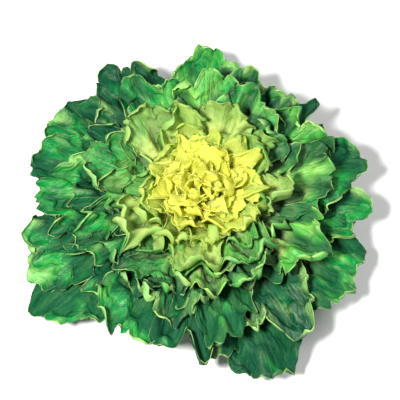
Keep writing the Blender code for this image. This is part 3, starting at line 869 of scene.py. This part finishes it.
def leaf_finish(name, colours, underside=False):
    """Blade, ribs, veins and pale rim, from blanched heart to dark outer leaf by the leaf's own rank, with
    painted shade in the fold troughs and pockets and a painted highlight on the crests.
    """
    f = Finish(name)
    side, up, rank = f.attribute("blade")
    x, y, seed = f.attribute("size")
    crest, margin, covered = f.attribute("fold")
    across = abs(x)
    spot = f.point(x, y, seed * 37)
    drift = f.noise(spot, 0.5, 2.0) - 0.5
    # blanched near the root, greener towards the tip and in the outer leaves
    low = rank.step(0.3, 0.9, 0.12, 0.55)
    high = rank.step(0.25, 0.60, 0.16, 0.64) + rank.step(0.5, 0.9, 0.0, 0.32)
    climb = up.step(0.30, 0.92)
    change = (seed - 0.5) * rank.step(0.3, 0.7, 0.06, 0.34)
    green = low + (high - low) * climb + drift * rank.step(0.3, 0.8, 0.12, 0.7) + change
    stops = [
        (0.0, colours.cream), (0.16, colours.yellow), (0.38, colours.lime), (0.60, colours.fresh),
        (0.80, colours.green), (1.0, colours.dark),
    ]
    blade = f.add("ShaderNodeValToRGB", {"stops": stops}, green)
    # midrib, side veins and the puffed cells between them
    rib_half = 0.04 + 0.38 * (1.0 - up).most(0.0) ** 1.6
    rib = (across / rib_half).step(0.45, 1.3, 1.0, 0.0)
    wobble = f.noise(spot, 1.1, 2.0) - 0.5
    fan = VEINS * across / (y.most(0.0) + 1.5) ** 0.8 + wobble * 0.7
    vein = abs(fan.part() - 0.5).step(0.03, 0.22, 1.0, 0.0) * across.step(0.1, 0.4) * up.step(0.1, 0.35)
    cells = f.add("ShaderNodeTexVoronoi", {"feature": "SMOOTH_F1"}, Vector=spot, Scale=1.7, Smoothness=0.3)
    small = f.add("ShaderNodeTexVoronoi", {"feature": "F1"}, Vector=spot, Scale=4.5)
    pale = f.mix(0.5, blade, colours.cream)
    drawn = vein * up.step(0.4, 1.0, 0.3, 0.12) * f.noise(spot, 0.9, 2.0).step(0.3, 0.65)
    rib_shown = rib * rank.step(0.5, 0.9, 0.7, 0.5) * up.step(0.55, 0.9, 1.0, 0.25)
    blade = f.mix(rib_shown.most(drawn), blade, pale)
    streak = f.noise(f.point(fan * 1.7 + seed * 23, y * 0.45, seed * 11), 1.0, 4.0, 0.65)
    blade = f.mix(streak.step(0.5, 0.72, 0.0, 0.55), blade, f.mix(0.5, blade, colours.crest))
    # painted shade in the troughs of the folds and in the pockets under the leaves above, painted highlight on
    # the crests
    trough_shade = crest.step(-0.7, 0.45, 1.0, 0.0) * rank.step(0.4, 0.65, 0.05, 0.95)
    # painted shade where the blade lies in under the leaves above it
    pocket_shade = covered.step(0.0, 0.9) * rank.step(0.4, 0.6, 0.1, 0.85)
    trough_shade = (trough_shade * streak.step(0.3, 0.6, 1.0, 0.85)).most(pocket_shade)
    # the painted shade is mid green in the inner leaves and dark green in the outer ones
    blade = f.mix(trough_shade, blade, f.mix(rank.step(0.46, 0.6), colours.fresh, colours.dark))
    # painted highlight: the crest colour on the crests of the folds near the margin
    light = crest.step(0.4, 1.5) * margin.step(0.2, 0.9) * rank.step(0.3, 0.7, 0.25, 0.65)
    blade = f.mix(light, blade, colours.crest)
    shade = f.mix(rank.step(0.3, 0.8), f.mix(0.5, blade, colours.cream), f.mix(0.6, blade, colours.dark))
    fleck = f.noise(spot, 2.6, 3.0, 0.6)
    blade = f.mix(fleck.step(0.4, 0.7, 0.0, 1.0) * rank.step(0.3, 0.6, 0.4, 0.7), blade, shade)
    rim = abs(side).step(0.965, 0.99).most(up.step(0.988, 0.997))
    rim = rim * f.noise(spot, 1.5, 2.0).step(0.4, 0.62, 0.1, 1.0)
    blade = f.mix(rim * rank.step(0.25, 0.6, 0.25, 0.65), blade, colours.rim)
    if underside:
        blade = f.mix(0.35, blade, colours.rim)
    relief = rank.step(0.3, 0.75, 0.25, 1.0)
    height = (streak * 1.2 - cells * 0.8 - small * 0.35 - vein * 0.35 - rib * 0.4 + fleck * 0.3) * relief
    bump = f.add("ShaderNodeBump", {}, Strength=1.0, Distance=1.3 * MM, Height=height)
    shine = 0.3 + fleck * 0.2 + trough_shade * 0.35 + (0.15 if underside else 0.0)
    settings = {"Specular_IOR_Level": 0.25}
    base = f.add("ShaderNodeBsdfPrincipled", {}, Base_Color=blade, Roughness=shine, Normal=bump, **settings)
    glow = f.add("ShaderNodeBsdfTranslucent", {}, Color=blade, Normal=bump)
    return f.finish(f.add("ShaderNodeMixShader", {}, rank.step(0.35, 0.7, 0.7, 0.2), base, glow))


def crown_finish(colours):
    """Pale stem with browned patches and a pale grain."""
    f = Finish("stem")
    spot = f.place()
    grain = f.noise(spot, 180.0, 4.0, 0.6)
    stain = f.noise(spot, 60.0, 3.0)
    flesh = f.mix(stain.step(0.35, 0.8), colours.stem, colours.browned)
    flesh = f.mix(grain.step(0.45, 0.8, 0.0, 0.5), flesh, colours.fibre)
    bump = f.add("ShaderNodeBump", {}, Strength=0.6, Distance=0.6 * MM, Height=grain)
    rough = grain * 0.3 + 0.45
    return f.finish(f.add("ShaderNodeBsdfPrincipled", {}, Base_Color=flesh, Roughness=rough, Normal=bump))


def plain_finish(name, colour, roughness):
    f = Finish(name)
    return f.finish(f.add("ShaderNodeBsdfPrincipled", {}, Base_Color=colour, Roughness=roughness))


def shown(obj, slot, *nodes):
    """Put a finished piece in place of its solids."""
    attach(obj, BODY)
    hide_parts(*nodes)


def link(name, mesh):
    obj = bpy.data.objects.new(name, mesh)
    bpy.context.scene.collection.objects.link(obj)
    return obj


def ring_nodes(ring):
    return sorted(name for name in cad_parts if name.startswith(ring + "_leaf_"))


class Head:
    """The leaves and finishes that the operators share."""

    leaves = None
    young = None
    finishes = {}

    @classmethod
    def all_leaves(cls):
        if cls.leaves is None:
            cls.leaves, cls.young = make_leaves()
        return cls.leaves

    @classmethod
    def finish(cls, name, colours, underside=False):
        if name not in cls.finishes:
            cls.finishes[name] = leaf_finish(name, colours, underside)
        return cls.finishes[name]


def make_ring(context, ring, first):
    """The big leaves of one ring, each in place of its own solid."""
    leaves, settings = Head.all_leaves(), context.scene
    upper = Head.finish(f"{ring} leaf", settings.escarole_colours)
    lower = Head.finish(f"{ring} leaf underside", settings.escarole_colours, True)
    for count, node in enumerate(ring_nodes(ring)):
        leaf = leaves[HEART_LEAVES + first + count]
        fine = settings.escarole_leaves
        mesh, walls = leaf_mesh(leaf, leaves, Head.young, fine, FINE_ROWS, FINE_COLUMNS)
        obj = link(f"{node}_blade", mesh)
        for finish in (upper, lower):
            obj.data.materials.append(finish)
        thicken(obj, walls, 1)
        applied(obj)
        shown(obj, ring, node)


class ESCAROLE_OT_inner_leaves(bpy.types.Operator):
    """Make the pale inner leaves"""

    bl_idname = "escarole.inner_leaves"
    bl_label = "Inner leaves"

    def execute(self, context):
        make_ring(context, "inner", 0)
        return {"FINISHED"}


class ESCAROLE_OT_middle_leaves(bpy.types.Operator):
    """Make the green middle leaves"""

    bl_idname = "escarole.middle_leaves"
    bl_label = "Middle leaves"

    def execute(self, context):
        make_ring(context, "middle", INNER_LEAVES)
        return {"FINISHED"}


class ESCAROLE_OT_outer_leaves(bpy.types.Operator):
    """Make the dark outer leaves"""

    bl_idname = "escarole.outer_leaves"
    bl_label = "Outer leaves"

    def execute(self, context):
        make_ring(context, "outer", INNER_LEAVES + MIDDLE_LEAVES)
        return {"FINISHED"}


class ESCAROLE_OT_heart(bpy.types.Operator):
    """Make the crinkled yellow heart on its core"""

    bl_idname = "escarole.heart"
    bl_label = "Heart"

    def execute(self, context):
        leaves = Head.all_leaves()
        finish = Head.finish("heart leaf", context.scene.escarole_colours)
        outline = [(r * MM, z * MM) for r, z in CORE] + [(0, HEART_SEAM)]
        core = turned("heart_leaves", outline, CORE_SIDES, finish)
        fineness = HEART_FINE_ROWS, HEART_FINE_COLUMNS
        joined(context, core, small_leaves(context, leaves[:HEART_LEAVES], finish, *fineness))
        shown(core, "heart", "heart")
        curls = [leaf for leaf in Head.young if leaf.in_heart]
        pieces = small_leaves(context, curls, finish, *fineness)
        joined(context, pieces[0], pieces[1:])
        pieces[0].name = "heart_curls"
        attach(pieces[0], BODY)
        return {"FINISHED"}


class ESCAROLE_OT_young_leaves(bpy.types.Operator):
    """Make the young leaves that show between the big ones"""

    bl_idname = "escarole.young_leaves"
    bl_label = "Young leaves"

    def execute(self, context):
        Head.all_leaves()
        finish = Head.finish("young leaf", context.scene.escarole_colours)
        young = [leaf for leaf in Head.young if not leaf.in_heart]
        rings = {"young_leaves_inner": young[:YOUNG_INNER], "young_leaves_outer": young[YOUNG_INNER:]}
        for name, some in rings.items():
            pieces = small_leaves(context, some, finish, YOUNG_ROWS, YOUNG_COLUMNS)
            joined(context, pieces[0], pieces[1:])
            pieces[0].name = name
            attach(pieces[0], BODY)
        return {"FINISHED"}


def small_leaves(context, some, finish, rows, columns):
    """Loose thickened leaves of one finish."""
    pieces, leaves, fine = [], Head.all_leaves(), context.scene.escarole_leaves
    for leaf in some:
        mesh, walls = leaf_mesh(leaf, leaves, Head.young, fine, rows, columns)
        obj = link(f"leaf_{leaf.number}", mesh)
        obj.data.materials.append(finish)
        thicken(obj, walls, 0)
        pieces.append(applied(obj))
    return pieces


def joined(context, target, pieces):
    with context.temp_override(active_object=target, selected_editable_objects=[target, *pieces]):
        bpy.ops.object.join()


def turned(name, points, steps, finish):
    """A solid turned round Z from a profile of (radius, height), top to bottom."""
    mesh = bpy.data.meshes.new(name)
    mesh.from_pydata([(r, 0, z) for r, z in points], [(i, i + 1) for i in range(len(points) - 1)], [])
    obj = link(name, mesh)
    screw = obj.modifiers.new("Screw", "SCREW")
    screw.steps = screw.render_steps = steps
    screw.use_merge_vertices = True
    screw.merge_threshold = 1e-5
    mesh.materials.append(finish)
    return applied(obj)


class ESCAROLE_OT_crown(bpy.types.Operator):
    """Make the short stem with its cut face"""

    bl_idname = "escarole.crown"
    bl_label = "Crown"

    def execute(self, context):
        top = HEART_SEAM - SEAM_GAP
        heights = np.linspace(top, CROWN_WAIST, 16)
        side = [(CROWN_RADIUS * math.sqrt(1 - ((z - CROWN_WAIST) / CROWN_RISE) ** 2), z) for z in heights]
        wide, high = ROOT_FLARE
        turns = np.linspace(1.4, 0.1, 8)
        bend = [(CUT_RADIUS + wide * math.sin(a), CUT_EDGE + high * (1 - math.cos(a))) for a in turns]
        face = [(CUT_RADIUS * s, 0.0) for s in (1.0, 0.8, 0.6, 0.4, 0.2, 0.0)]
        finish = crown_finish(context.scene.escarole_colours)
        crown = turned("crown_stem", [(0, top), *side, *bend, *face], CROWN_SIDES, finish)
        crown.data.shade_smooth()
        shown(crown, "crown", "crown")
        return {"FINISHED"}


class ESCAROLE_OT_stage(bpy.types.Operator):
    """Set the pale floor, the soft light and the camera"""

    bl_idname = "escarole.stage"
    bl_label = "Stage"

    def execute(self, context):
        scene, stage = context.scene, context.scene.escarole_stage
        mesh = bpy.data.meshes.new("floor")
        far = FLOOR_HALF
        corners = [(-far, -far, 0), (far, -far, 0), (far, far, 0), (-far, far, 0)]
        mesh.from_pydata(corners, [], [(0, 1, 2, 3)])
        floor = link("floor", mesh)
        mesh.materials.append(plain_finish("floor", FLOOR_COLOUR, 0.9))
        world = bpy.data.worlds.new("sky")
        world.use_nodes = True
        sky = world.node_tree.nodes["Background"]
        sky.inputs["Color"].default_value = (1, 1, 1, 1)
        sky.inputs["Strength"].default_value = stage.sky
        scene.world = world
        soft_light("key", KEY_SPOT, KEY_SIZE, stage.key)
        soft_light("fill", FILL_SPOT, FILL_SIZE, stage.key * FILL_SHARE)
        look_down(scene, stage)
        scene.view_settings.view_transform = "Standard"
        return {"FINISHED"}


def soft_light(name, spot, size, power):
    light = bpy.data.lights.new(name, "AREA")
    light.energy, light.size, light.shape = power, size, "DISK"
    obj = link(name, light)
    obj.location = spot
    obj.rotation_euler = (Vector(LIGHTS_AIM) - obj.location).to_track_quat("-Z", "Y").to_euler()


def look_down(scene, stage):
    """The camera at the photo's viewing angle."""
    camera = bpy.data.cameras.new("camera")
    obj = link("camera", camera)
    back = Vector((0, -math.cos(stage.elevation), math.sin(stage.elevation)))
    obj.location = Vector(AIM) + back * stage.distance
    obj.rotation_euler = (-back).to_track_quat("-Z", "Y").to_euler()
    camera.lens = camera.sensor_width * stage.distance / stage.view_width
    scene.camera = obj


class ESCAROLE_PT_panel(bpy.types.Panel):
    """Lists the makers of the head's pieces"""

    bl_label = "Escarole head"
    bl_space_type = "VIEW_3D"
    bl_region_type = "UI"
    bl_category = "Escarole"

    def draw(self, context):
        for maker in MAKERS:
            self.layout.operator(maker.bl_idname)
        for group in ("escarole_leaves", "escarole_colours", "escarole_stage"):
            settings = getattr(context.scene, group)
            for name in settings.__annotations__:
                self.layout.prop(settings, name)


MAKERS = (
    ESCAROLE_OT_stage,
    ESCAROLE_OT_crown,
    ESCAROLE_OT_heart,
    ESCAROLE_OT_young_leaves,
    ESCAROLE_OT_inner_leaves,
    ESCAROLE_OT_middle_leaves,
    ESCAROLE_OT_outer_leaves,
)
CLASSES = (LeafSettings, ColourSettings, StageSettings, *MAKERS, ESCAROLE_PT_panel)


def register():
    for item in CLASSES:
        bpy.utils.register_class(item)
    bpy.types.Scene.escarole_leaves = PointerProperty(type=LeafSettings)
    bpy.types.Scene.escarole_colours = PointerProperty(type=ColourSettings)
    bpy.types.Scene.escarole_stage = PointerProperty(type=StageSettings)


def unregister():
    del bpy.types.Scene.escarole_leaves
    del bpy.types.Scene.escarole_colours
    del bpy.types.Scene.escarole_stage
    for item in reversed(CLASSES):
        bpy.utils.unregister_class(item)


def main():
    register()
    bpy.ops.escarole.stage()
    bpy.ops.escarole.crown()
    bpy.ops.escarole.heart()
    bpy.ops.escarole.young_leaves()
    bpy.ops.escarole.inner_leaves()
    bpy.ops.escarole.middle_leaves()
    bpy.ops.escarole.outer_leaves()


if __name__ == "__main__":
    main()
